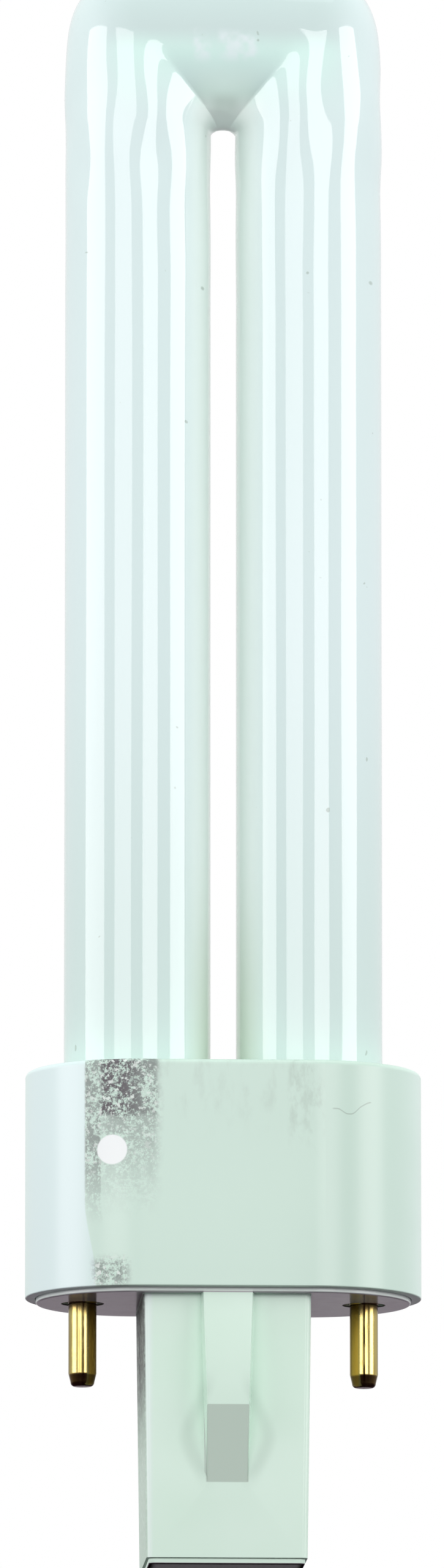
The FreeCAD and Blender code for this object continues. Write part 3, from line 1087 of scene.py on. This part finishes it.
cover = {
    "inset": 0.2,
    "proud": 0.43,
    "edge": 0.08,
    "joint": 0.04,
    "jointDepth": 0.3,
    "plug": 1.4,
    "clearance": 0.06,
    "endShade": colour(190, 168, 190),
    "endShare": 0.8,
    "endHeights": (0.01, 0.06),
}


def makeCover():
    end, corner, inner = -post["length"], post["edge"], post["cavityEdge"]
    rings = [
        postRing(cover["inset"] + inset, corner - inset, drop + end - cover["proud"], end)
        for inset, drop in roundOver(cover["edge"])
    ]
    seat = cover["inset"] + cover["jointDepth"]
    plug = post["wall"] + cover["clearance"]
    for inset, radius, height in (
        (cover["inset"], corner, end - cover["joint"]),
        (seat, inner, end - cover["joint"]),
        (seat, inner, end),
        (plug, inner, end),
        (plug, inner, end + cover["plug"]),
    ):
        rings.append(postRing(inset, radius, height, end))
    dress(ringMesh("postCover", rings), coverLook(), "cap_plastic", "post_cover", sharp=28)


def coverLook():
    look = newLook("coverPlastic")
    fromEnd = look.axis("Z") + post["length"] + cover["proud"]
    below = 1 - look.step(fromEnd, *cover["endHeights"])
    shade = plasticShade(look, "plateBody", "platePale")
    # the end face is painted a darker purple-grey, a painted shade where it faces down
    shade = look.mix(below * cover["endShare"], shade, cover["endShade"])
    return look.surface({"Base Color": shade, "Roughness": plastic["coverRoughness"]})


# contact pins

pin = {
    "radius": 1.15,
    "length": 6.8,
    "sides": 72,
    "tipLength": 1.0,
    "tipRadius": 0.98,
    "tipEdge": 0.36,
    "tipStep": 0.03,
    "tipStepRun": (-0.05, 0.06),
    "shank": 1.4,
    "headRadius": 1.8,
    "headTop": 5.1,
    "bore": 0.35,
    "boreFloor": 1.6,
}


def makePins():
    look = brassLook()
    tipEnd = pin["tipLength"] - pin["length"]
    stepLow, stepHigh = pin["tipStepRun"]
    tip = roundOver(pin["tipEdge"])
    profile = [(pin["tipRadius"] - inset, drop - pin["length"]) for inset, drop in tip]
    profile += [
        (pin["radius"] - pin["tipStep"], tipEnd + stepLow),
        (pin["radius"], tipEnd + stepHigh),
        (pin["radius"], 0),
        (pin["shank"], plate["recessDepth"]),
        (pin["shank"], plate["bossTop"]),
        (pin["headRadius"], plate["bossTop"]),
        (pin["headRadius"], pin["headTop"]),
        (pin["bore"], pin["headTop"]),
        (pin["bore"], pin["boreFloor"]),
    ]
    for name, node, side in (("pinLeft", "contact_pin_left", -1), ("pinRight", "contact_pin_right", 1)):
        piece = turned(name, profile, side * plate["pinSpacing"] / 2, pin["sides"])
        dress(piece, look, "pin_brass", node, sharp=25)


# reaches are from the pin's middle towards the post
brass = {
    "bright": colour(188, 172, 108),
    "worn": colour(164, 142, 74),
    "wornStreaks": {"size": 0.5, "detail": 3, "stretch": (1, 1, 0.06), "low": 0.45, "high": 0.75},
    "inward": colour(222, 176, 70),
    "inwardGlintShare": 0.8,
    "inwardReach": (0.42, 0.56),
    "darkReflection": colour(44, 32, 12),
    "faintLine": (-0.34, -0.26, 0.03),
    "faintShare": 0.5,
    "darkLine": (-0.05, 0.11, 0.03),
    "lineBlotches": {"size": 0.6, "detail": 2, "stretch": (1, 1, 0.35), "low": 0.3, "high": 0.6},
    "darkReflectionShare": 0.45,
    "lineBlotchShare": 0.5,
    "rim": colour(84, 70, 24),
    "paintedRimShare": 0.6,
    "rimReach": (0.95, 1.12),
    "root": colour(60, 34, 16),
    "rootShadeShare": 0.7,
    "rootHeights": (-1.1, -0.1),
    "tip": colour(70, 48, 26),
    "tipShadeShare": 0.8,
    "tipHeights": (-5.95, -5.75),
    "roughness": 0.16,
    "dullBlotches": {"size": 0.35, "detail": 3, "stretch": (1, 1, 0.4), "low": 0.5, "high": 0.8},
    "dullRoughness": 0.16,
}


def brassLook():
    look = newLook("pinBrass")
    z = look.axis("Z")
    shade = look.mix(look.blotches(**brass["wornStreaks"]), brass["bright"], brass["worn"])
    # painted reflections: yellower on the side of the post, with two dark reflected lines on the front
    inward = plate["pinSpacing"] / 2 - look.math("ABSOLUTE", look.axis("X"))
    share = look.step(inward, *brass["inwardReach"]) * brass["inwardGlintShare"]
    shade = look.mix(share, shade, brass["inward"])
    share = look.blotches(**brass["lineBlotches"]) * brass["lineBlotchShare"] + brass["darkReflectionShare"]
    darkReflections = look.between(inward, *brass["faintLine"]) * brass["faintShare"]
    darkReflections = darkReflections + look.between(inward, *brass["darkLine"])
    shade = look.mix(darkReflections * share, shade, brass["darkReflection"])
    # painted shade: darker towards both outlines, by the plate and on the tip
    rim = look.step(look.math("ABSOLUTE", inward), *brass["rimReach"])
    shade = look.mix(rim * brass["paintedRimShare"], shade, brass["rim"])
    root = look.step(z, *brass["rootHeights"])
    shade = look.mix(root * brass["rootShadeShare"], shade, brass["root"])
    tip = 1 - look.step(z, *brass["tipHeights"])
    shade = look.mix(tip * brass["tipShadeShare"], shade, brass["tip"])
    rough = look.blotches(**brass["dullBlotches"]) * brass["dullRoughness"] + brass["roughness"]
    return look.surface({"Base Color": shade, "Metallic": 1.0, "Roughness": rough})


# finishes of the pieces that stay as the frame has them

finishes = {
    "basingCement": {
        "nodes": ("cement_left", "cement_right"),
        "shades": (colour(222, 216, 202), colour(196, 188, 172)),
        "blotches": {"size": 0.8, "detail": 4, "low": 0.35, "high": 0.7},
        "surface": {"Roughness": 0.9},
        "bumps": {"size": 0.4, "detail": 4},
        "bumpStrength": 0.3,
        "bumpDepth": 0.1,
    },
    "starterGlass": {
        "nodes": ("starter_bottle",),
        "shades": (colour(214, 226, 222), colour(196, 212, 208)),
        "blotches": {"size": 4, "detail": 2, "low": 0.4, "high": 0.7},
        "surface": {"Roughness": 0.12, "Coat Weight": 1.0, "Coat Roughness": 0.03},
    },
    "capacitorResin": {
        "nodes": ("capacitor",),
        "shades": (colour(176, 96, 42), colour(150, 74, 30)),
        "blotches": {"size": 2.5, "detail": 3, "low": 0.4, "high": 0.7},
        "surface": {"Roughness": 0.3},
    },
    "nickelWire": {
        "nodes": ("pin_lead_left", "pin_lead_right", "starter_lead_left", "starter_lead_right"),
        "shades": (colour(198, 192, 184), colour(160, 154, 146)),
        "blotches": {"size": 1.2, "detail": 3, "low": 0.4, "high": 0.7},
        "surface": {"Metallic": 1.0, "Roughness": 0.34},
    },
}


def finishLook(name):
    finish = finishes[name]
    look = newLook(name)
    shade = look.mix(look.blotches(**finish["blotches"]), *finish["shades"])
    values = {"Base Color": shade, **finish["surface"]}
    if "bumps" in finish:
        values["Normal"] = look.node("ShaderNodeBump", values={
            "Strength": finish["bumpStrength"],
            "Distance": finish["bumpDepth"] * mm,
            "Height": look.grain(**finish["bumps"]),
        })
    return look.surface(values)


def finishFrameNodes():
    for name, finish in finishes.items():
        material = finishLook(name)
        for node in finish["nodes"]:
            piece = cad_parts[node]
            if piece.material_slots:
                piece.material_slots[0].material = material
            else:
                piece.data.materials.append(material)
        print(name, "on", len(finish["nodes"]), "pieces")


bpy.context.scene.view_settings.view_transform = "Standard"
makeCamera()
makeWorld()
makeLights()
makeFloor()
print("camera, lights and floor made")
makeGlass()
makeShell()
makeBasePlate()
makeCover()
makePins()
finishFrameNodes()
print("pieces made")
